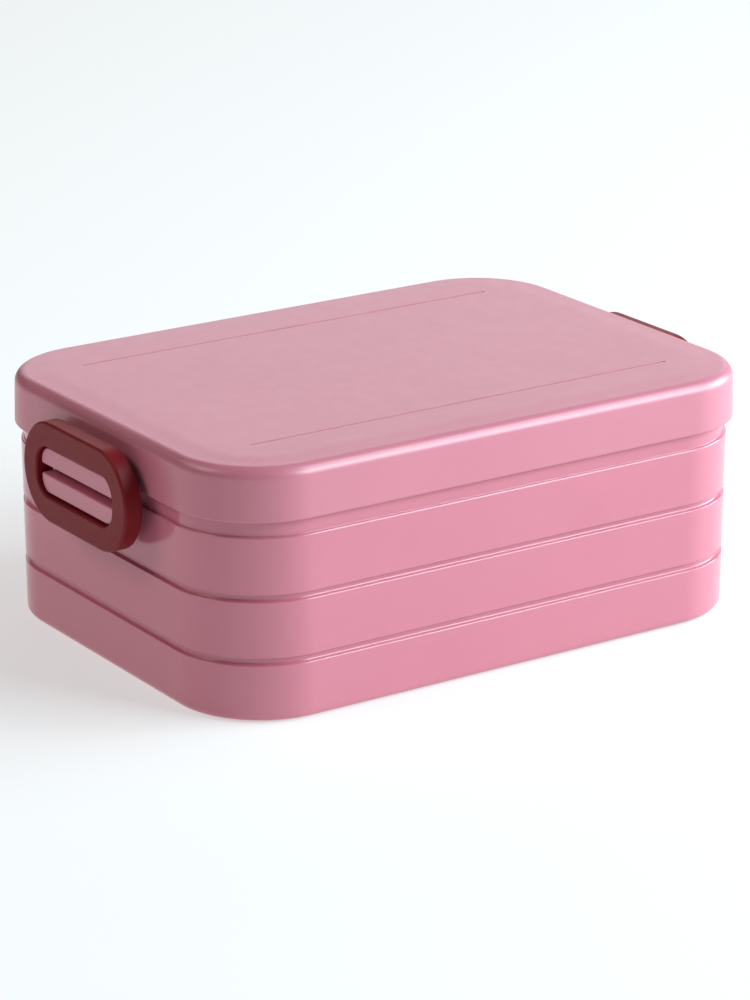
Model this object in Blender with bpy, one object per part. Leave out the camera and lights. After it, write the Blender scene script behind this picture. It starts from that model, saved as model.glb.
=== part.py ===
"""Bento lunch box: tub, overlapping lid, two swinging ring clips, inner trays and fork.

Metres, +Z up, X along the length, the box stands on z = 0 and is centred on the origin.
"""
import math
import bpy
from mathutils import Matrix, Vector

MM = 0.001

# lid
LID_L, LID_W, BOX_H = 164.0, 120.0, 65.0
LID_R = 23.9            # corner radius in plan
LID_Z0 = 51.3           # lower edge of the skirt
LID_WALL = 1.7
LID_DRAFT = 0.026       # mm inwards for each mm up
LID_FILLET = 3.0
LID_UNDER = 63.0        # underside of the top panel
LINE_Y, LINE_X = 40.0, 63.0
LINE_W, LINE_DEEP = 0.9, 0.4

# tub
TUB_L, TUB_W = 162.0, 118.0
TUB_R = 24.4
TUB_DRAFT = 0.006
BAND_TOP = 47.2         # top of the upper rib
GROOVES = ((30.8, 32.6), (14.6, 16.5))
GROOVE_DEEP = 1.0
BAND_IN = 0.8           # the band under the lid stands back by this
RIM_IN = 1.4
RIM_TOP = 62.6
WALL_IN = 2.6           # from the rib face to the inner face
FLOOR = 2.2
FOOT_R = 2.0

# clip: ring 50.4 x 26.2 mm with a 37 x 13 mm window
CLIP_Z = 48.35
CLIP_Y, CLIP_H = 50.4, 26.2
WIN_Y, WIN_H = 37.0, 13.0
CLIP_X0, CLIP_X1 = 84.0, 89.0      # back and front face
AXIS_X, AXIS_Z = 85.3, 38.6
AXLE_R = 1.1
HOOK_Y, HOOK_W = 9.0, 5.0
HOOK_BORE, HOOK_R = 1.3, 2.05
SLOT_W, SLOT_R = 5.8, 2.3

# lugs inside the clip window
LUG_X = 88.0
LUG_Y = 17.6
LUG_UP = (49.6, 54.5)
LUG_LOW = (42.4, 47.3)

# inner trays
LEDGE_Z = 56.8
TRAY_TOP, TRAY_LOW = 58.4, 33.0
TRAY_WALL = 1.4
TRAY_SPLIT = 16.0


def clear_scene():
    for ob in list(bpy.data.objects):
        bpy.data.objects.remove(ob, do_unlink=True)


def make_material(name, color, rough):
    mat = bpy.data.materials.new(name)
    mat.use_nodes = True
    bsdf = mat.node_tree.nodes["Principled BSDF"]
    bsdf.inputs["Base Color"].default_value = (color[0], color[1], color[2], 1.0)
    bsdf.inputs["Roughness"].default_value = rough
    mat.diffuse_color = (color[0], color[1], color[2], 1.0)
    return mat


def ring(x0, x1, y0, y1, radii, z, seg=8):
    """Rounded rectangle, anticlockwise from the +X +Y corner; radii for ++, -+, --, +-."""
    pts = []
    corners = ((x1, y1, -1, -1, 0), (x0, y1, 1, -1, 90), (x0, y0, 1, 1, 180), (x1, y0, -1, 1, 270))
    for (cx, cy, sx, sy, a0), r in zip(corners, radii):
        for i in range(seg + 1):
            a = math.radians(a0 + 90.0 * i / seg)
            pts.append((cx + sx * r + r * math.cos(a), cy + sy * r + r * math.sin(a), z))
    return pts


def centred(lx, ly, r, z, seg=8):
    return ring(-lx / 2, lx / 2, -ly / 2, ly / 2, (r,) * 4, z, seg)


def loft(name, rings, mat, smooth=True, axis="Z"):
    """Closed body through a list of equal-length rings with a flat cap at both ends."""
    n = len(rings[0])
    verts = [p for rg in rings for p in rg]
    faces = [tuple(reversed(range(n)))]
    for k in range(len(rings) - 1):
        for i in range(n):
            j = (i + 1) % n
            faces.append((k * n + i, k * n + j, (k + 1) * n + j, (k + 1) * n + i))
    last = (len(rings) - 1) * n
    faces.append(tuple(range(last, last + n)))
    if axis == "X":          # local (x, y, z) -> world (z, x, y)
        verts = [(v[2], v[0], v[1]) for v in verts]
    elif axis == "Y":        # local (x, y, z) -> world (y, z, x)
        verts = [(v[1], v[2], v[0]) for v in verts]
    mesh = bpy.data.meshes.new(name)
    mesh.from_pydata([(x * MM, y * MM, z * MM) for x, y, z in verts], [], faces)
    mesh.validate()
    mesh.materials.append(mat)
    if smooth:
        mesh.polygons.foreach_set("use_smooth", [len(p.vertices) == 4 for p in mesh.polygons])
    mesh.update()
    ob = bpy.data.objects.new(name, mesh)
    bpy.context.scene.collection.objects.link(ob)
    return ob


def box(name, x0, x1, y0, y1, z0, z1, mat):
    rg = [[(x1, y1, z), (x0, y1, z), (x0, y0, z), (x1, y0, z)] for z in (z0, z1)]
    return loft(name, rg, mat, smooth=False)


def combine(ob, other, how):
    """Exact boolean of ob with other; other is used up."""
    mod = ob.modifiers.new("cut", "BOOLEAN")
    mod.operation = how
    mod.solver = "EXACT"
    mod.object = other
    graph = bpy.context.evaluated_depsgraph_get()
    mesh = bpy.data.meshes.new_from_object(ob.evaluated_get(graph))
    old = ob.data
    name = old.name
    ob.modifiers.clear()
    ob.data = mesh
    bpy.data.meshes.remove(old)
    mesh.name = name
    bpy.data.objects.remove(other, do_unlink=True)
    return ob


def set_origin(ob, x, y, z):
    """Put the object's origin on its joint's axis and leave the shape where it is."""
    move = Vector((x * MM, y * MM, z * MM))
    ob.data.transform(Matrix.Translation(-move))
    ob.location = move


def plate_x(name, y0, y1, z0, z1, radii, x0, x1, mat, edge=0.0, seg=6, both=False):
    """Plate standing across X with rounded corners and eased edges on the x1 (and x0) face."""
    s = 1 if x1 > x0 else -1
    prof = [(x0, 0.0)]
    if both and edge:
        prof = [(x0, edge), (x0 + s * edge * 0.3, edge * 0.3), (x0 + s * edge, 0.0)]
    if edge:
        prof += [(x1 - s * edge, 0.0), (x1 - s * edge * 0.3, edge * 0.3), (x1, edge)]
    else:
        prof.append((x1, 0.0))
    rings = [ring(y0 + e, y1 - e, z0 + e, z1 - e, [max(r - e, 0.2) for r in radii], x, seg)
             for x, e in prof]
    if s < 0:
        rings = rings[::-1]
    return loft(name, rings, mat, axis="X")


def rod_y(name, x, z, r, y0, y1, mat, seg=24):
    rings = []
    for y in (y0, y1):
        rings.append([(z + r * math.cos(2 * math.pi * i / seg), x + r * math.sin(2 * math.pi * i / seg), y)
                      for i in range(seg)])
    return loft(name, rings, mat, axis="Y")


def tub_face(z):
    """How far the rib face stands in from its size at the top rib."""
    return (BAND_TOP - z) * TUB_DRAFT


def tub_profile():
    """(inset from the rib face, z) from the foot up the outside, over the rim and down inside."""
    d0 = tub_face(0.0)
    prof = [(d0 + FOOT_R, 0.0)]
    for k in (1, 2, 3):
        a = math.radians(30 * k)
        prof.append((d0 + FOOT_R * (1 - math.sin(a)), FOOT_R * (1 - math.cos(a))))
    for lo, hi in reversed(GROOVES):
        d = tub_face(lo)
        prof += [(d, lo - 0.35), (d + 0.12, lo - 0.1), (d + 0.4, lo + 0.1),
                 (d + GROOVE_DEEP, lo + 0.7), (d + GROOVE_DEEP, hi - 0.15), (d + 0.45, hi),
                 (d + 0.12, hi + 0.12), (d, hi + 0.4)]
    prof += [(0.0, BAND_TOP - 0.5), (0.15, BAND_TOP - 0.12), (0.45, BAND_TOP),
             (BAND_IN, BAND_TOP + 0.1), (BAND_IN, 50.5), (RIM_IN, 50.7), (RIM_IN, RIM_TOP - 0.4),
             (RIM_IN + 0.4, RIM_TOP), (WALL_IN - 0.4, RIM_TOP), (WALL_IN, RIM_TOP - 0.4)]
    d1 = 0.35
    prof += [(WALL_IN + d1, FLOOR + 5.0), (WALL_IN + d1 + 0.7, FLOOR + 2.3),
             (WALL_IN + d1 + 2.3, FLOOR + 0.7), (WALL_IN + d1 + 5.0, FLOOR)]
    return prof


def make_tub(mat):
    rings = [centred(TUB_L - 2 * d, TUB_W - 2 * d, TUB_R - d, z) for d, z in tub_profile()]
    tub = loft("base_box", rings, mat)
    for s in (-1, 1):
        y = TUB_W / 2 - WALL_IN
        rest = box("ledge", -50.0, 50.0, min(s * (y - 1.9), s * (y + 0.6)), max(s * (y - 1.9), s * (y + 0.6)),
                   LEDGE_Z - 2.4, LEDGE_Z, mat)
        combine(tub, rest, "UNION")
    wall = TUB_L / 2 - 0.9
    for s in (-1, 1):
        lug = plate_x("lug", -LUG_Y, LUG_Y, LUG_LOW[0], LUG_LOW[1], (0.7, 0.7, 3.6, 3.6),
                      s * (wall - 0.4), s * LUG_X, mat, edge=0.5)
        combine(tub, lug, "UNION")
        tie = box("tie", min(s * (wall - 0.4), s * 83.2), max(s * (wall - 0.4), s * 83.2), -13.4, 13.4,
                  LUG_LOW[0] + 1.5, LUG_UP[0] - 0.4, mat)
        combine(tub, tie, "UNION")
        for h in (-HOOK_Y, HOOK_Y):
            y0, y1 = h - HOOK_W / 2, h + HOOK_W / 2
            arm = box("arm", min(s * (wall - 0.5), s * AXIS_X), max(s * (wall - 0.5), s * AXIS_X), y0, y1,
                      AXIS_Z + 0.2, AXIS_Z + HOOK_R, mat)
            eye = rod_y("eye", s * AXIS_X, AXIS_Z, HOOK_R, y0, y1, mat)
            combine(arm, eye, "UNION")
            bore = rod_y("bore", s * AXIS_X, AXIS_Z, HOOK_BORE, y0 - 1, y1 + 1, mat)
            combine(arm, bore, "DIFFERENCE")
            mouth = box("mouth", s * AXIS_X - 0.95, s * AXIS_X + 0.95, y0 - 1, y1 + 1,
                        AXIS_Z - 4.0, AXIS_Z, mat)
            combine(arm, mouth, "DIFFERENCE")
            combine(tub, arm, "UNION")
    return tub


def lid_inset(z):
    return (z - LID_Z0) * LID_DRAFT


def make_lid(mat):
    zf = BOX_H - 0.3 - LID_FILLET
    outer = [(0.3, LID_Z0), (0.0, LID_Z0 + 0.35)]
    outer.append((lid_inset(zf), zf))
    for k in range(1, 6):
        a = math.radians(18 * k)
        outer.append((lid_inset(zf) + LID_FILLET * (1 - math.cos(a)), zf + LID_FILLET * math.sin(a)))
    edge = lid_inset(zf) + LID_FILLET
    outer += [(edge + 3.5, BOX_H - 0.2), (edge + 7.0, BOX_H)]
    inner = [(LID_WALL + 0.15, LID_Z0), (LID_WALL - 0.02, LID_Z0 + 0.3)]
    zi = LID_UNDER - 1.0
    inner.append((LID_WALL + lid_inset(zi), zi))
    inner.append((LID_WALL + lid_inset(zi) + 0.3, zi + 0.7))
    inner.append((LID_WALL + lid_inset(zi) + 1.0, LID_UNDER))
    prof = list(reversed(outer)) + inner
    rings = [centred(LID_L - 2 * d, LID_W - 2 * d, LID_R - d, z) for d, z in prof]
    lid = loft("lid", rings[::-1], mat)
    for s in (-1, 1):
        lug = plate_x("lug", -LUG_Y, LUG_Y, LUG_UP[0], LUG_UP[1], (4.1, 4.1, 0.7, 0.7),
                      s * (LID_L / 2 - 0.8), s * LUG_X, mat, edge=0.5)
        combine(lid, lug, "UNION")
        line = loft("line", [ring(-LINE_X, LINE_X, s * LINE_Y - LINE_W / 2, s * LINE_Y + LINE_W / 2,
                                  (LINE_W / 2 - 0.01,) * 4, z, 4)
                             for z in (BOX_H - LINE_DEEP, BOX_H + 1.0)], mat)
        combine(lid, line, "DIFFERENCE")
    return lid


def make_clip(name, s, mat):
    """Ring with rounded faces, hinge slots open to the back and below, and an axle across each slot."""
    h, w = CLIP_H / 2, CLIP_Y / 2
    ob = plate_x(name, -w, w, CLIP_Z - h, CLIP_Z + h, (h - 0.05,) * 4, s * CLIP_X0, s * CLIP_X1, mat,
                 edge=0.8, seg=10, both=True)
    win = plate_x("window", -WIN_Y / 2, WIN_Y / 2, CLIP_Z - WIN_H / 2, CLIP_Z + WIN_H / 2, (5.3,) * 4,
                  s * (CLIP_X0 - 1), s * (CLIP_X1 + 1), mat, seg=10)
    combine(ob, win, "DIFFERENCE")
    for hy in (-HOOK_Y, HOOK_Y):
        xs = sorted((s * (CLIP_X0 - 1), s * (AXIS_X + SLOT_R)))
        slot = box("slot", xs[0], xs[1], hy - SLOT_W / 2, hy + SLOT_W / 2, CLIP_Z - h - 1,
                   AXIS_Z + SLOT_R, mat)
        combine(ob, slot, "DIFFERENCE")
        axle = rod_y("axle", s * AXIS_X, AXIS_Z, AXLE_R, hy - SLOT_W / 2 - 0.5, hy + SLOT_W / 2 + 0.5, mat, 16)
        combine(ob, axle, "UNION")
    set_origin(ob, s * AXIS_X, 0.0, AXIS_Z)
    return ob


def make_tray(name, x0, x1, radii, mat):
    """Tray with a thin flange that rests on the two ledges; radii of the flange corners."""
    yf = TUB_W / 2 - WALL_IN - 0.6      # half width of the flange
    fl = 3.0                            # the flange stands out by this
    top, low = TRAY_TOP, TRAY_LOW
    under = LEDGE_Z + 0.3
    prof = [(fl + 4.0, low), (fl + 2.2, low + 0.6), (fl + 1.2, low + 2.2), (fl, under),
            (0.3, under), (0.0, under + 0.4), (0.0, top - 0.4), (0.3, top),
            (fl + 0.9, top), (fl + TRAY_WALL, top - 0.5), (fl + TRAY_WALL + 1.2, low + 3.2),
            (fl + TRAY_WALL + 2.0, low + 2.0), (fl + TRAY_WALL + 3.6, low + 1.5)]
    rings = [ring(x0 + d, x1 - d, -yf + d, yf - d, [max(r - d, 1.0) for r in radii], z, 8) for d, z in prof]
    return loft(name, rings, mat)


def make_divider(mat):
    """Thin wall held between two pairs of ribs on the long sides of the large tray."""
    y = TUB_W / 2 - WALL_IN - 0.6 - 3.0 - TRAY_WALL
    rings = []
    for x in (-0.7, 0.7):
        rings.append([(y - 0.5, TRAY_TOP - 2.5, x), (y - 1.2, TRAY_TOP - 1.8, x),
                      (-y + 1.2, TRAY_TOP - 1.8, x), (-y + 0.5, TRAY_TOP - 2.5, x),
                      (-y + 2.2, 38.0, x), (-y + 5.0, TRAY_LOW + 2.0, x), (y - 5.0, TRAY_LOW + 2.0, x),
                      (y - 2.2, 38.0, x)])
    rings = [[(a, b, c - 22.0) for a, b, c in rg] for rg in rings]
    return loft("tray_divider", rings, mat, smooth=False, axis="X")


def make_fork(mat):
    """Mini fork lying across the large tray, tines towards -Y."""
    cx, z0, t = -34.0, TRAY_LOW + 2.4, 1.8
    half = [(46.0, 2.0), (45.0, 3.6), (42.0, 4.6), (30.0, 4.8), (8.0, 3.4), (-8.0, 2.8),
            (-16.0, 3.6), (-22.0, 6.4), (-26.0, 7.2), (-46.0, 6.8)]
    outline = [(cx + w, y) for y, w in half] + [(cx - w, y) for y, w in reversed(half)]
    # the loft expects an anticlockwise ring
    outline = outline[::-1]
    rings = [[(x, y, z) for x, y in outline] for z in (z0, z0 + t)]
    fork = loft("fork", rings, mat, smooth=False)
    for gx in (-3.4, 0.0, 3.4):
        gap = box("gap", cx + gx - 0.75, cx + gx + 0.75, -50.0, -29.0, z0 - 1, z0 + t + 1, mat)
        combine(fork, gap, "DIFFERENCE")
    return fork


def add_divider_ribs(tray, mat):
    """Two pairs of short ribs inside the long walls guide the divider."""
    y = TUB_W / 2 - WALL_IN - 0.6 - 3.0 - TRAY_WALL
    for s in (-1, 1):
        for dx in (-1.9, 1.1):
            ys = sorted((s * (y - 3.0), s * (y + 0.05)))
            rib = box("rib", -22.0 + dx, -22.0 + dx + 0.8, ys[0], ys[1], TRAY_LOW + 1.0, TRAY_TOP - 4.0, mat)
            combine(tray, rib, "UNION")
    return tray


def main():
    clear_scene()
    pink = make_material("tub_pink", (0.70, 0.37, 0.45), 0.32)
    lid_pink = make_material("lid_pink", (0.70, 0.37, 0.45), 0.42)
    wine = make_material("clip_wine", (0.16, 0.035, 0.045), 0.5)
    pale = make_material("tray_pale", (0.80, 0.78, 0.76), 0.4)
    fork_mat = make_material("fork_wine", (0.16, 0.035, 0.045), 0.4)
    make_tub(pink)
    make_lid(lid_pink)
    make_clip("clip_left", -1, wine)
    make_clip("clip_right", 1, wine)
    inner = TUB_L / 2 - WALL_IN - 0.6
    big = make_tray("tray_large", -inner, TRAY_SPLIT - 0.4, (5.5, 21.2, 21.2, 5.5), pale)
    add_divider_ribs(big, pale)
    make_tray("tray_small", TRAY_SPLIT + 0.4, inner, (21.2, 5.5, 5.5, 21.2), pale)
    make_divider(pale)
    make_fork(fork_mat)


main()
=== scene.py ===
import math

import bpy
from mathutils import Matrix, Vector

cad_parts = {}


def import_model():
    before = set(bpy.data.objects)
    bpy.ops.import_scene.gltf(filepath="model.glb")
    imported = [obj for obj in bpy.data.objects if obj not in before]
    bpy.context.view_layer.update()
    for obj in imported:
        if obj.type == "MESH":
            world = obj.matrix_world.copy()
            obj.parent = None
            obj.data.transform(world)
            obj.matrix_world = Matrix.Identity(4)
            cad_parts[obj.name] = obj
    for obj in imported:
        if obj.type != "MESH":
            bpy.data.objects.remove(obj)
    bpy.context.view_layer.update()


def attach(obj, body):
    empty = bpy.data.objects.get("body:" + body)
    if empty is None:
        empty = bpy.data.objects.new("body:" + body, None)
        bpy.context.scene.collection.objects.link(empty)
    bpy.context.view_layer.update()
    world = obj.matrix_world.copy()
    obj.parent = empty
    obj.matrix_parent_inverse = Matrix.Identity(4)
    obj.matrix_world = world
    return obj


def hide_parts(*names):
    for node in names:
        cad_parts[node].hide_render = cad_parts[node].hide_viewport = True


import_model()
MM = 0.001
PI = math.pi

# ---------------------------------------------------------------- sizes, mm
# lid
LID_L, LID_W, BOX_H = 164.0, 120.0, 65.0
LID_R, LID_Z0, LID_WALL, LID_UNDER = 23.9, 51.3, 1.7, 63.0
LID_DRAFT, LID_FILLET = 0.026, 3.0
LID_CROWN, CROWN_W = 0.3, 7.0                       # fall of the top towards the shoulder, and over what width
LID_EDGE_R, LID_INNER_R = 0.45, 1.2
LINE_Y, LINE_X = 40.0, 63.0
LINE_SINK = 0.08                                    # depth of the centre of each line's cutter
LINE_ENDS = ((0.0, 0.15), (0.1, 0.3), (0.35, 0.42)) # distance from the end, radius

# tub
TUB_L, TUB_W, TUB_R, TUB_DRAFT = 162.0, 118.0, 24.4, 0.006
BAND_TOP, BAND_IN, BAND_EDGE_R = 47.2, 0.8, 0.45
RIM_IN, RIM_TOP, RIM_R = 1.4, 62.6, 0.5
WALL_IN, WALL_FOOT, FLOOR, FLOOR_R, FOOT_R = 2.6, 0.35, 2.2, 5.0, 2.0
GROOVES = ((30.8, 32.6), (14.6, 16.5))
GROOVE_DEEP = 1.0
GROOVE_EDGE_R, GROOVE_FILLET_R, GROOVE_TOP_R = 0.3, 0.5, 0.15
LEDGE_Z, LEDGE_T, LEDGE_X = 56.8, 2.4, 50.0

# clips, hooks and lugs
CLIP_Z, CLIP_Y, CLIP_H = 48.35, 50.4, 26.2
WIN_Y, WIN_H, WIN_R = 37.0, 13.0, 5.3
CLIP_X0, CLIP_X1 = 84.0, 89.0
CLIP_OUT_R, CLIP_WIN_R = 0.75, 0.55                 # eased edges of the ring, outside and in the window
AXIS_X, AXIS_Z, AXLE_R = 85.3, 38.6, 1.1
HOOK_Y, HOOK_W, HOOK_BORE, HOOK_R, HOOK_MOUTH = 9.0, 5.0, 1.3, 2.05, 0.95
SLOT_W, SLOT_R = 5.8, 2.3
LUG_X, LUG_Y = 88.0, 17.6
LUG_UP, LUG_LOW = (49.6, 54.5), (42.4, 47.3)
LUG_SMALL_R = 0.7
LUG_ROOT = TUB_L / 2 - 1.3                          # where the lower lugs and hooks start, inside the wall
WEB_X, WEB_Y = 83.2, 13.4

# trays, divider, fork
TRAY_TOP, TRAY_LOW, TRAY_WALL, TRAY_SPLIT = 58.4, 33.0, 1.4, 16.0
TRAY_LIP, TRAY_FOOT_R, TRAY_GAP = 3.0, 3.0, 0.6
TRAY_LIP_R, TRAY_RIM_R = 0.5, 0.6
TRAY_Y = TUB_W / 2 - WALL_IN - TRAY_GAP
TRAY_X = TUB_L / 2 - WALL_IN - TRAY_GAP
TRAY_INNER_Y = TRAY_Y - TRAY_LIP - TRAY_WALL
DIVIDER_X = (-22.7, -21.3)
GUIDE_X, GUIDE_T, GUIDE_Y = -22.0, 0.8, 2.6
FORK_X, FORK_Z, FORK_T = -34.0, TRAY_LOW + 2.4, 1.8


# ---------------------------------------------------------------- materials
class Nodes:
    """Small helper around one material's node tree."""

    def __init__(self, name):
        self.mat = bpy.data.materials.new(name)
        self.mat.use_nodes = True
        self.tree = self.mat.node_tree
        self.bsdf = self.tree.nodes["Principled BSDF"]
        self.coord = self.tree.nodes.new("ShaderNodeTexCoord").outputs["Object"]

    def noise(self, scale, detail=3.0, rough=0.5, stretch=None):
        src = self.coord
        if stretch:
            mp = self.tree.nodes.new("ShaderNodeMapping")
            mp.inputs["Scale"].default_value = stretch
            self.tree.links.new(src, mp.inputs["Vector"])
            src = mp.outputs["Vector"]
        n = self.tree.nodes.new("ShaderNodeTexNoise")
        n.inputs["Scale"].default_value = scale
        n.inputs["Detail"].default_value = detail
        n.inputs["Roughness"].default_value = rough
        self.tree.links.new(src, n.inputs["Vector"])
        return n.outputs["Fac"]

    def ramp(self, fac, lo, hi, a, b):
        r = self.tree.nodes.new("ShaderNodeMapRange")
        r.inputs["From Min"].default_value = lo
        r.inputs["From Max"].default_value = hi
        r.inputs["To Min"].default_value = a
        r.inputs["To Max"].default_value = b
        self.tree.links.new(fac, r.inputs["Value"])
        return r.outputs["Result"]

    def mix(self, fac, a, b):
        m = self.tree.nodes.new("ShaderNodeMix")
        m.data_type = "RGBA"
        m.inputs["A"].default_value = (*a, 1.0)
        m.inputs["B"].default_value = (*b, 1.0)
        self.tree.links.new(fac, m.inputs["Factor"])
        return m.outputs["Result"]

    def bump(self, height, strength, distance, prev=None):
        b = self.tree.nodes.new("ShaderNodeBump")
        b.inputs["Strength"].default_value = strength
        b.inputs["Distance"].default_value = distance
        self.tree.links.new(height, b.inputs["Height"])
        if prev:
            self.tree.links.new(prev, b.inputs["Normal"])
        return b.outputs["Normal"]

    def link(self, out, name):
        self.tree.links.new(out, self.bsdf.inputs[name])


def plastic(name, dark, light, rough, grain, spec=0.5):
    """Moulded plastic: slow colour drift, uneven gloss, a fine spark-eroded grain and slight waviness.

    dark and light bound the colour, rough bounds the roughness, grain is the strength of the fine bump.
    """
    n = Nodes(name)
    drift = n.noise(38.0, 4.0, 0.55)
    n.link(n.mix(n.ramp(drift, 0.3, 0.7, 0.0, 1.0), dark, light), "Base Color")
    wear = n.noise(240.0, 5.0, 0.6, (1.0, 1.0, 2.2))
    n.link(n.ramp(wear, 0.25, 0.75, *rough), "Roughness")
    fine = n.bump(n.noise(2160.0, 2.0, 0.5), grain, 0.00006)
    wave = n.bump(n.noise(22.0, 2.0, 0.4), 0.22, 0.0006, fine)
    n.link(wave, "Normal")
    n.bsdf.inputs["IOR"].default_value = 1.49
    n.bsdf.inputs["Specular IOR Level"].default_value = spec
    return n.mat


PINK_LID = plastic("pink_lid", (0.565, 0.182, 0.244), (0.585, 0.192, 0.256), (0.32, 0.38), 0.3, spec=0.7)
PINK_TUB = plastic("pink_tub", (0.575, 0.175, 0.238), (0.595, 0.185, 0.25), (0.13, 0.18), 0.06, spec=0.7)
# painted shade: a darker, duller pink for the faces inside the two lid lines, standing in for the shade in them
PINK_LINE_PAINTED_SHADE = plastic("pink_line_painted_shade", (0.50, 0.165, 0.22), (0.53, 0.175, 0.235), (0.45, 0.55), 0.2, spec=0.3)
WINE = plastic("wine_clip", (0.185, 0.008, 0.012), (0.205, 0.011, 0.016), (0.42, 0.50), 0.4, spec=0.2)
PALE = plastic("pale_tray", (0.78, 0.76, 0.74), (0.83, 0.81, 0.79), (0.34, 0.42), 0.2)
FORK = plastic("wine_fork", (0.118, 0.018, 0.022), (0.135, 0.022, 0.026), (0.25, 0.33), 0.15)


# ---------------------------------------------------------------- mesh tools
def quarter(n):
    """Angles over a quarter turn, in n equal steps."""
    return [PI / 2 * i / n for i in range(n + 1)]


def mirrored(s, a, b):
    """The span a to b, on the side s of the middle, in rising order."""
    return min(s * a, s * b), max(s * a, s * b)


def side_name(s):
    return "right" if s > 0 else "left"


def ring(x0, x1, y0, y1, radii, z, seg=24, side=6):
    """Rounded rectangle, anticlockwise.

    radii are those of the corners ++, -+, --, +-; each corner has seg steps and each straight has side.
    """
    pts = []
    corners = ((x1, y1, -1, -1, 0), (x0, y1, 1, -1, 90), (x0, y0, 1, 1, 180), (x1, y0, -1, 1, 270))
    for (cx, cy, sx, sy, a0), r in zip(corners, radii):
        for i in range(seg + 1):
            a = math.radians(a0 + 90.0 * i / seg)
            pts.append((cx + sx * r + r * math.cos(a), cy + sy * r + r * math.sin(a), z))
    out = []
    for i, p in enumerate(pts):
        q = pts[(i + 1) % len(pts)]
        out.append(p)
        if (i + 1) % (seg + 1) == 0:
            out += [tuple(p[k] + (q[k] - p[k]) * j / side for k in range(3)) for j in range(1, side)]
    return out


def centred(lx, ly, r, z):
    return ring(-lx / 2, lx / 2, -ly / 2, ly / 2, (r,) * 4, z)


def to_object(name, verts, faces, mat):
    mesh = bpy.data.meshes.new(name)
    mesh.from_pydata([(x * MM, y * MM, z * MM) for x, y, z in verts], [], faces)
    mesh.validate()
    mesh.materials.append(mat)
    ob = bpy.data.objects.new(name, mesh)
    bpy.context.scene.collection.objects.link(ob)
    return ob


def loft(name, rings, mat, axis="Z", closed=False):
    """Skin through rings of equal length; capped at both ends, or joined last to first."""
    n = len(rings[0])
    verts = [p for rg in rings for p in rg]
    faces = []
    m = len(rings)
    for k in range(m if closed else m - 1):
        k2 = (k + 1) % m
        for i in range(n):
            j = (i + 1) % n
            faces.append((k * n + i, k * n + j, k2 * n + j, k2 * n + i))
    if not closed:
        faces.append(tuple(reversed(range(n))))
        faces.append(tuple(range((m - 1) * n, m * n)))
    if axis == "X":
        verts = [(v[2], v[0], v[1]) for v in verts]
    elif axis == "Y":
        verts = [(v[1], v[2], v[0]) for v in verts]
    return to_object(name, verts, faces, mat)


def box(name, x0, x1, y0, y1, z0, z1, mat):
    return loft(name, [[(x1, y1, z), (x0, y1, z), (x0, y0, z), (x1, y0, z)] for z in (z0, z1)], mat)


def rod_y(name, x, z, r, y0, y1, mat):
    """Round bar along Y."""
    turn = [2 * PI * i / 40 for i in range(40)]
    return loft(name, [[(z + r * math.cos(a), x + r * math.sin(a), y) for a in turn] for y in (y0, y1)],
                mat, "Y")


def apply_modifiers(ob):
    graph = bpy.context.evaluated_depsgraph_get()
    mesh = bpy.data.meshes.new_from_object(ob.evaluated_get(graph))
    old = ob.data
    ob.modifiers.clear()
    ob.data = mesh
    bpy.data.meshes.remove(old)


def combine(ob, other, how):
    """Boolean of ob with other; other is used up."""
    mod = ob.modifiers.new("cut", "BOOLEAN")
    mod.operation, mod.solver, mod.object = how, "EXACT", other
    apply_modifiers(ob)
    bpy.data.objects.remove(other, do_unlink=True)


def soften(ob, angle=40.0, bevel=0.0, segments=3):
    """Optional bevel of the sharp edges, then smooth shading that keeps flat faces flat."""
    if bevel:
        mod = ob.modifiers.new("edge", "BEVEL")
        mod.width, mod.segments = bevel * MM, segments
        mod.limit_method, mod.angle_limit = "ANGLE", math.radians(35.0)
        apply_modifiers(ob)
    ob.data.polygons.foreach_set("use_smooth", [True] * len(ob.data.polygons))
    ob.data.set_sharp_from_angle(angle=math.radians(angle))
    mod = ob.modifiers.new("normals", "WEIGHTED_NORMAL")
    mod.keep_sharp = True
    mod.weight = 80
    apply_modifiers(ob)
    return ob


def plate_x(name, y0, y1, z0, z1, radii, x0, x1, mat):
    """Plate across X: rounded corners, the x1 face eased over a quarter round."""
    edge = 0.5
    s = 1 if x1 > x0 else -1
    prof = [(x0, 0.0)]
    prof += [(x1 - s * edge * (1 - math.sin(a)), edge * (1 - math.cos(a))) for a in quarter(5)]
    rings = [ring(y0 + e, y1 - e, z0 + e, z1 - e, [max(r - e, 0.1) for r in radii], x, 12, 3)
             for x, e in prof]
    return loft(name, rings if s > 0 else rings[::-1], mat, "X")


# ---------------------------------------------------------------- tub
def groove_profile(lo, hi, d):
    """One groove of the side, from below; d is the inset of the face beside it."""
    edge, fillet, top = GROOVE_EDGE_R, GROOVE_FILLET_R, GROOVE_TOP_R
    back = d + GROOVE_DEEP
    prof = [(d, lo - 3.0), (d, lo - 1.2)]
    prof += [(d + edge * (1 - math.cos(a)), lo - edge + edge * math.sin(a)) for a in quarter(5)]
    prof += [(back - fillet + fillet * math.sin(a), lo + 0.05 + fillet * (1 - math.cos(a)))
             for a in quarter(6)]
    prof += [(back, hi - 0.1), (back - 0.1, hi)]
    prof += [(d + top * (1 - math.sin(a)), hi + top * (1 - math.cos(a))) for a in quarter(5)]
    prof += [(d, hi + 1.0), (d, hi + 3.0)]
    return prof


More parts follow.
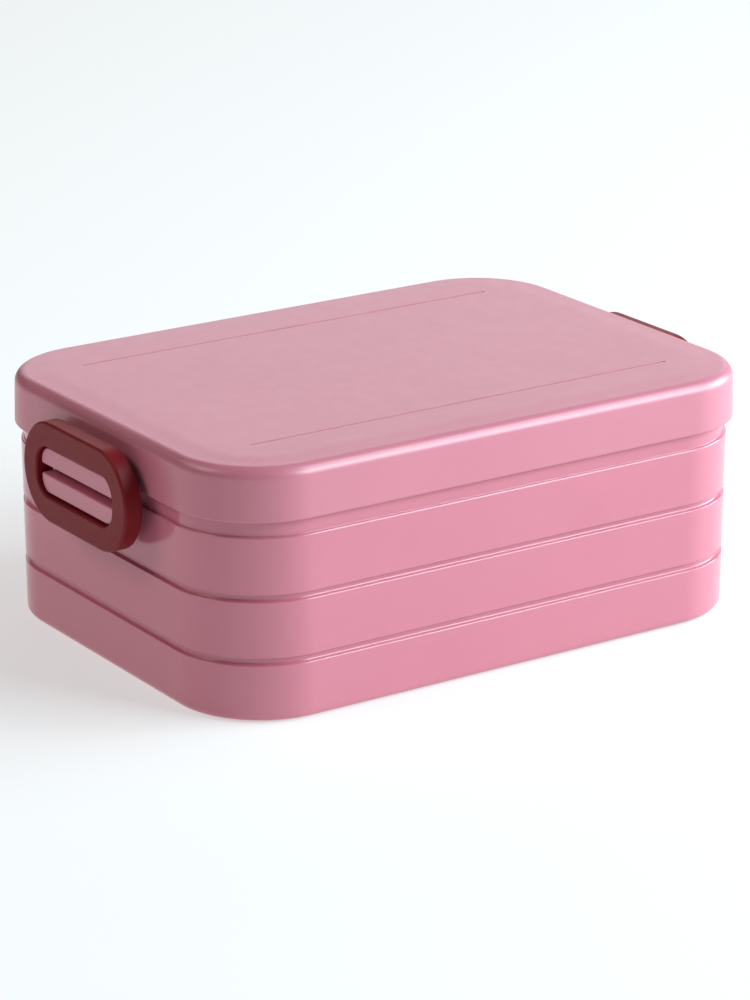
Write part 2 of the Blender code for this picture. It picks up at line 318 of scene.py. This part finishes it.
def tub_profile():
    """Inset and height: from the foot up the outside, over the rim and down inside to the floor."""
    def face(z):
        return (BAND_TOP - z) * TUB_DRAFT
    prof = [(face(0.0) + FOOT_R + 2.0, 0.0)]
    prof += [(face(0.0) + FOOT_R * (1 - math.sin(a)), FOOT_R * (1 - math.cos(a))) for a in quarter(8)]
    for lo, hi in reversed(GROOVES):
        prof += groove_profile(lo, hi, face(lo))
    prof += [(0.0, BAND_TOP - 3.0), (0.0, BAND_TOP - 1.2)]
    prof += [(BAND_EDGE_R * (1 - math.cos(a)), BAND_TOP - BAND_EDGE_R + BAND_EDGE_R * math.sin(a))
             for a in quarter(6)[:-1]]
    prof += [(BAND_IN - 0.14, BAND_TOP + 0.03), (BAND_IN, BAND_TOP + 0.2), (BAND_IN, 48.8), (BAND_IN, 50.8),
             (RIM_IN, 51.0), (RIM_IN, 56.0), (RIM_IN, RIM_TOP - RIM_R)]
    prof += [(RIM_IN + RIM_R * (1 - math.cos(a)), RIM_TOP - RIM_R + RIM_R * math.sin(a))
             for a in quarter(4)[1:]]
    prof += [(WALL_IN - RIM_R * (1 - math.cos(a)), RIM_TOP - RIM_R + RIM_R * math.sin(a))
             for a in (PI / 2 - b for b in quarter(4))]
    prof += [(WALL_IN + 0.05, 50.0), (WALL_IN + 0.15, 35.0), (WALL_IN + 0.28, 18.0), (WALL_IN + WALL_FOOT, 9.0)]
    prof += [(WALL_IN + WALL_FOOT + FLOOR_R * (1 - math.cos(a)), FLOOR + FLOOR_R - FLOOR_R * math.sin(a))
             for a in quarter(8)]
    return prof


def make_hook(s, y):
    """Snap-in hook of the clip's axle: an arm with an eye, bored and open below."""
    ya, yb = y - HOOK_W / 2, y + HOOK_W / 2
    xa, xb = mirrored(s, LUG_ROOT, AXIS_X)
    arm = box("hook", xa, xb, ya, yb, AXIS_Z + 0.2, AXIS_Z + HOOK_R, PINK_TUB)
    combine(arm, rod_y("eye", s * AXIS_X, AXIS_Z, HOOK_R, ya, yb, PINK_TUB), "UNION")
    combine(arm, rod_y("bore", s * AXIS_X, AXIS_Z, HOOK_BORE, ya - 1, yb + 1, PINK_TUB), "DIFFERENCE")
    combine(arm, box("mouth", s * AXIS_X - HOOK_MOUTH, s * AXIS_X + HOOK_MOUTH, ya - 1, yb + 1,
                     AXIS_Z - 4, AXIS_Z, PINK_TUB), "DIFFERENCE")
    arm.name = "hook_%s_%s" % (side_name(s), "back" if y > 0 else "front")
    return soften(arm, 35)


tub = loft("tub_shell", [centred(TUB_L - 2 * d, TUB_W - 2 * d, TUB_R - d, z) for d, z in tub_profile()],
           PINK_TUB)
soften(tub, 60.0)
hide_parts("base_box")
parts_base = [tub]

for s in (-1, 1):
    wall_y = TUB_W / 2 - WALL_IN
    y0, y1 = mirrored(s, wall_y - 1.9, wall_y + 0.6)
    ledge = box("tray_ledge_back" if s > 0 else "tray_ledge_front", -LEDGE_X, LEDGE_X, y0, y1,
                LEDGE_Z - LEDGE_T, LEDGE_Z, PINK_TUB)
    parts_base.append(soften(ledge, 40, 0.5))
    low = plate_x("lower_lug_" + side_name(s), -LUG_Y, LUG_Y, *LUG_LOW,
                  (LUG_SMALL_R, LUG_SMALL_R, 3.6, 3.6), s * LUG_ROOT, s * LUG_X, PINK_TUB)
    parts_base.append(soften(low, 50))
    x0, x1 = mirrored(s, LUG_ROOT, WEB_X)
    tie = box("lug_web_" + side_name(s), x0, x1, -WEB_Y, WEB_Y, LUG_LOW[0] + 1.5, LUG_UP[0] - 0.4, PINK_TUB)
    parts_base.append(soften(tie, 40, 0.3))
    for hook_y in (-HOOK_Y, HOOK_Y):
        parts_base.append(make_hook(s, hook_y))
for ob in parts_base:
    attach(ob, "base")


# ---------------------------------------------------------------- lid
def lid_inset(z):
    return (z - LID_Z0) * LID_DRAFT


def lid_profile():
    """Inset and height: from the middle of the top, over the shoulder, down the skirt and up inside."""
    zf = BOX_H - LID_CROWN - LID_FILLET
    e = lid_inset(zf)
    flat = e + LID_FILLET + CROWN_W
    prof = [(flat + 0.6, BOX_H), (flat, BOX_H)]
    prof += [(e + LID_FILLET + CROWN_W * t, BOX_H - LID_CROWN * (1 - t * t * (3 - 2 * t)))
             for t in (0.85, 0.7, 0.5, 0.3, 0.12)]
    prof += [(e + LID_FILLET * (1 - math.sin(a)), zf + LID_FILLET * math.cos(a)) for a in quarter(12)]
    prof += [(lid_inset(z), z) for z in (59.0, 55.0, 52.2)]
    prof += [(LID_EDGE_R * (1 - math.cos(a)), LID_Z0 + LID_EDGE_R - LID_EDGE_R * math.sin(a))
             for a in quarter(5)]
    prof += [(LID_WALL - 0.3, LID_Z0), (LID_WALL - 0.02, LID_Z0 + 0.3), (LID_WALL + lid_inset(56.0), 56.0)]
    zi = LID_UNDER - LID_INNER_R
    prof += [(LID_WALL + lid_inset(zi) + LID_INNER_R * (1 - math.cos(a)), zi + LID_INNER_R * math.sin(a))
             for a in quarter(5)]
    return prof


def line_cutter(s):
    """Round bar with narrowing ends, sunk in the top of the lid."""
    ends = [(-LINE_X + e, r) for e, r in LINE_ENDS] + [(LINE_X - e, r) for e, r in reversed(LINE_ENDS)]
    turn = [2 * PI * i / 12 for i in range(12)]
    rings = [[(s * LINE_Y + r * math.cos(a), BOX_H - LINE_SINK + r * math.sin(a), x) for a in turn]
             for x, r in ends]
    return loft("line", rings, PINK_LID, "X")


def in_line(face):
    """Whether a face of the lid lies in one of the two moulded lines; these faces get the darker pink of
    painted shade.
    """
    x, y, z = face.center / MM
    return BOX_H - 0.6 < z < BOX_H - 0.02 and abs(x) < LINE_X + 0.3 and abs(abs(y) - LINE_Y) < 0.6


lid = loft("lid_shell", [centred(LID_L - 2 * d, LID_W - 2 * d, LID_R - d, z) for d, z in lid_profile()][::-1],
           PINK_LID)
for s in (-1, 1):
    combine(lid, line_cutter(s), "DIFFERENCE")
# the faces in the two lines take the darker pink, painted shade for the lines
lid.data.materials.append(PINK_LINE_PAINTED_SHADE)
for face in lid.data.polygons:
    if in_line(face):
        face.material_index = 1
soften(lid, 50.0)
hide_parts("lid")
parts_lid = [lid]
for s in (-1, 1):
    up = plate_x("upper_lug_" + side_name(s), -LUG_Y, LUG_Y, *LUG_UP,
                 (4.1, 4.1, LUG_SMALL_R, LUG_SMALL_R), s * (LID_L / 2 - 0.8), s * LUG_X, PINK_LID)
    parts_lid.append(soften(up, 50))
for ob in parts_lid:
    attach(ob, "lid")


# ---------------------------------------------------------------- clips
def make_clip(side, s):
    """Ring swept as a closed skin: outer side, eased edges, flat faces and window, then the hinge."""
    out_r, win_r, steps = CLIP_OUT_R, CLIP_WIN_R, quarter(6)
    sect = []          # (in the window or not, ease, x)
    sect += [(False, out_r * (1 - math.sin(a)), CLIP_X0 + out_r * (1 - math.cos(a))) for a in steps]
    sect += [(False, out_r * (1 - math.cos(a)), CLIP_X1 - out_r * (1 - math.sin(a))) for a in steps]
    sect += [(True, win_r * (1 - math.sin(a)), CLIP_X1 - win_r * (1 - math.cos(a))) for a in steps]
    sect += [(True, win_r * (1 - math.cos(a)), CLIP_X0 + win_r * (1 - math.sin(a))) for a in steps]
    rings = []
    for window, e, x in sect:
        if window:
            w, h, r = WIN_Y / 2 + e, WIN_H / 2 + e, WIN_R + e
        else:
            w, h, r = CLIP_Y / 2 - e, CLIP_H / 2 - e, CLIP_H / 2 - e - 0.05
        rings.append(ring(-w, w, CLIP_Z - h, CLIP_Z + h, (r,) * 4, s * x, 20, 8))
    ob = loft("clip_ring_" + side, rings if s > 0 else rings[::-1], WINE, "X", closed=True)
    x0, x1 = mirrored(s, CLIP_X0 - 1, AXIS_X + SLOT_R)
    for hy in (-HOOK_Y, HOOK_Y):
        ya, yb = hy - SLOT_W / 2, hy + SLOT_W / 2
        combine(ob, box("slot", x0, x1, ya, yb, CLIP_Z - CLIP_H / 2 - 1, AXIS_Z + SLOT_R, WINE), "DIFFERENCE")
        combine(ob, rod_y("axle", s * AXIS_X, AXIS_Z, AXLE_R, ya - 0.5, yb + 0.5, WINE), "UNION")
    soften(ob, 40.0)
    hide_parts("clip_" + side)
    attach(ob, "clip_" + side)


make_clip("left", -1)
make_clip("right", 1)


# ---------------------------------------------------------------- trays, divider, fork
def tray_profile():
    """Inset and height: from the foot up the outside, under and over the lip, and down inside."""
    lip, foot, inner = TRAY_LIP, TRAY_FOOT_R, TRAY_LIP + TRAY_WALL
    under = LEDGE_Z + 0.3
    prof = [(lip + 5.2, TRAY_LOW)]
    prof += [(lip + 1.0 + foot * (1 - math.sin(a)), TRAY_LOW + foot * (1 - math.cos(a))) for a in quarter(6)]
    prof += [(lip + 0.4, TRAY_LOW + 14.0), (lip + 0.25, under - 0.5), (lip, under)]
    prof += [(TRAY_LIP_R, under)]
    prof += [(TRAY_LIP_R * (1 - math.sin(a)), under + TRAY_LIP_R - TRAY_LIP_R * math.cos(a))
             for a in quarter(3)[1:]]
    prof += [(0.45 * (1 - math.cos(a)), TRAY_TOP - 0.45 + 0.45 * math.sin(a)) for a in quarter(4)]
    prof += [(lip + 0.6, TRAY_TOP)]
    prof += [(inner - TRAY_RIM_R * (1 - math.sin(a)), TRAY_TOP - TRAY_RIM_R + TRAY_RIM_R * math.cos(a))
             for a in quarter(4)[1:]]
    prof += [(inner + 0.5, TRAY_LOW + 14.0), (inner + 0.9, TRAY_LOW + 4.6)]
    prof += [(inner + 0.9 + foot * (1 - math.cos(a)), TRAY_LOW + 4.5 - foot * math.sin(a))
             for a in quarter(6)]
    return prof


def make_tray(name, x0, x1, radii):
    rings = [ring(x0 + d, x1 - d, -TRAY_Y + d, TRAY_Y - d, [max(r - d, 0.8) for r in radii], z, 16, 4)
             for d, z in tray_profile()]
    return soften(loft(name, rings, PALE), 60.0)


big = make_tray("large_tray", -TRAY_X, TRAY_SPLIT - 0.4, (5.5, 21.2, 21.2, 5.5))
small = make_tray("small_tray", TRAY_SPLIT + 0.4, TRAY_X, (21.2, 5.5, 5.5, 21.2))
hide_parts("tray_large")
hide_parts("tray_small")
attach(big, "tray_large")
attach(small, "tray_small")
for s in (-1, 1):
    ya, yb = mirrored(s, TRAY_INNER_Y - GUIDE_Y, TRAY_INNER_Y)
    for k, dx in enumerate((-1.9, 1.1)):
        rib = box("divider_guide_%s_%d" % ("back" if s > 0 else "front", k + 1),
                  GUIDE_X + dx, GUIDE_X + GUIDE_T + dx, ya, yb, TRAY_LOW + 1.0, TRAY_TOP - 4.0, PALE)
        soften(rib, 40, 0.25)
        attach(rib, "tray_large")

dy, top = TRAY_INNER_Y, TRAY_TOP
outline = [(dy - 0.7, top - 2.5), (dy - 1.2, top - 1.8), (-dy + 1.2, top - 1.8), (-dy + 0.7, top - 2.5),
           (-dy + 2.2, 38.0), (-dy + 5.0, TRAY_LOW + 2.0), (dy - 5.0, TRAY_LOW + 2.0), (dy - 2.2, 38.0)]
divider = loft("divider_wall", [[(a, b, x) for a, b in outline] for x in DIVIDER_X], PALE, "X")
soften(divider, 40, 0.35)
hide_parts("tray_divider")
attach(divider, "divider")


def make_fork():
    """Mini fork: one soft-cornered section after another along its length, then three gaps between tines."""
    # position along Y, half width; the last lines are the tines
    half = [(46.0, 2.0), (45.4, 3.0), (44.0, 4.0), (42.0, 4.5), (36.0, 4.8), (30.0, 4.7), (18.0, 4.1),
            (8.0, 3.4), (-2.0, 2.9), (-8.0, 2.8), (-13.0, 3.2), (-17.0, 4.3), (-20.0, 5.6), (-23.0, 6.7),
            (-26.0, 7.1), (-32.0, 7.2), (-40.0, 7.0), (-45.0, 6.7), (-46.0, 6.4)]
    rings = []
    for y, w in half[::-1]:
        thin = 0.8 if y < -40 else 1.0
        sec = []
        for i in range(24):
            a = 2 * PI * i / 24
            c, sn = math.cos(a), math.sin(a)
            px = w * (abs(c) ** 0.7) * (1 if c > 0 else -1)
            pz = FORK_T / 2 * (abs(sn) ** 0.6) * (1 if sn > 0 else -1) * thin
            sec.append((FORK_Z + FORK_T / 2 + pz, FORK_X + px, y))
        rings.append(sec)
    ob = loft("mini_fork", rings, FORK, "Y")
    w, tip, root, end = 0.75, -50.0, -30.5, -29.6
    for gx in (-3.4, 0.0, 3.4):
        x = FORK_X + gx
        gap = [[(x + w, tip, z), (x + w, root, z), (x + w * 0.4, end, z),
                (x - w * 0.4, end, z), (x - w, root, z), (x - w, tip, z)]
               for z in (FORK_Z - 1, FORK_Z + FORK_T + 1)]
        combine(ob, loft("gap", gap, FORK), "DIFFERENCE")
    soften(ob, 40.0, 0.18, 2)
    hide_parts("fork")
    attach(ob, "fork")


make_fork()


# ---------------------------------------------------------------- stage, light, camera
FLOOR_HALF, FLOOR_Z = 3000, -0.2
AIM = (0, 0, 0.03)                                  # metres; every light looks at the middle of the box


def stage_floor():
    mat = bpy.data.materials.new("floor_white")
    mat.use_nodes = True
    bsdf = mat.node_tree.nodes["Principled BSDF"]
    bsdf.inputs["Base Color"].default_value = (0.45, 0.45, 0.45, 1)
    bsdf.inputs["Emission Color"].default_value = (1, 1, 1, 1)
    bsdf.inputs["Emission Strength"].default_value = 0.5
    bsdf.inputs["Roughness"].default_value = 0.9
    bsdf.inputs["Specular IOR Level"].default_value = 0.1
    f = FLOOR_HALF
    ob = to_object("floor", [(-f, -f, FLOOR_Z), (f, -f, FLOOR_Z), (f, f, FLOOR_Z), (-f, f, FLOOR_Z)],
                   [(0, 1, 2, 3)], mat)


def area(name, pos, size, power, color):
    """Rectangular softbox aimed at the box."""
    light = bpy.data.lights.new(name, "AREA")
    light.shape, light.size, light.size_y = "RECTANGLE", size[0], size[1]
    light.energy, light.color = power, color
    ob = bpy.data.objects.new(name, light)
    ob.location = pos
    ob.rotation_euler = (Vector(AIM) - Vector(pos)).to_track_quat("-Z", "Y").to_euler()
    bpy.context.scene.collection.objects.link(ob)


def world():
    w = bpy.data.worlds.new("studio")
    w.use_nodes = True
    bg = w.node_tree.nodes["Background"]
    bg.inputs["Color"].default_value = (1, 1, 1, 1)
    bg.inputs["Strength"].default_value = 0.06
    bpy.context.scene.world = w


def camera():
    az, el = math.radians(-33.863), math.radians(18.741)
    dist, sensor, lens = 0.983, 36.0, 137.3832      # metres, mm, mm
    target = Vector((-0.003123, -0.004856, 0.030))
    back = Vector((math.sin(az) * math.cos(el), -math.cos(az) * math.cos(el), math.sin(el)))
    cam = bpy.data.cameras.new("camera")
    cam.sensor_fit = "VERTICAL"
    cam.sensor_height = sensor
    cam.lens = lens
    cam.clip_end = 20.0
    ob = bpy.data.objects.new("camera", cam)
    ob.location = target + back * dist
    ob.rotation_euler = (-back).to_track_quat("-Z", "Y").to_euler()
    bpy.context.scene.collection.objects.link(ob)
    bpy.context.scene.camera = ob


stage_floor()
world()
camera()
area("softbox_high", (0.795, -0.48, 1.215), (0.3, 0.42), 4.8, (0.9, 1.02, 1.08))
area("softbox_right", (1.3, -0.35, 0.45), (0.9, 0.7), 20.0, (0.84, 1.05, 1.1))
area("softbox_front_right", (0.85, -1.15, 0.8), (0.8, 0.9), 24.0, (0.9, 1.07, 1.12))
area("softbox_back", (0.85, 1.25, 0.55), (1.4, 0.8), 4.4, (0.98, 1.0, 1.0))
area("softbox_left", (-1.05, 0.3, 1.0), (0.5, 0.5), 3.4, (1.08, 0.95, 0.92))
area("softbox_left_back", (-0.75, 0.75, 1.05), (0.6, 0.6), 2.0, (1.08, 0.96, 0.93))
bpy.context.scene.view_settings.view_transform = "Standard"
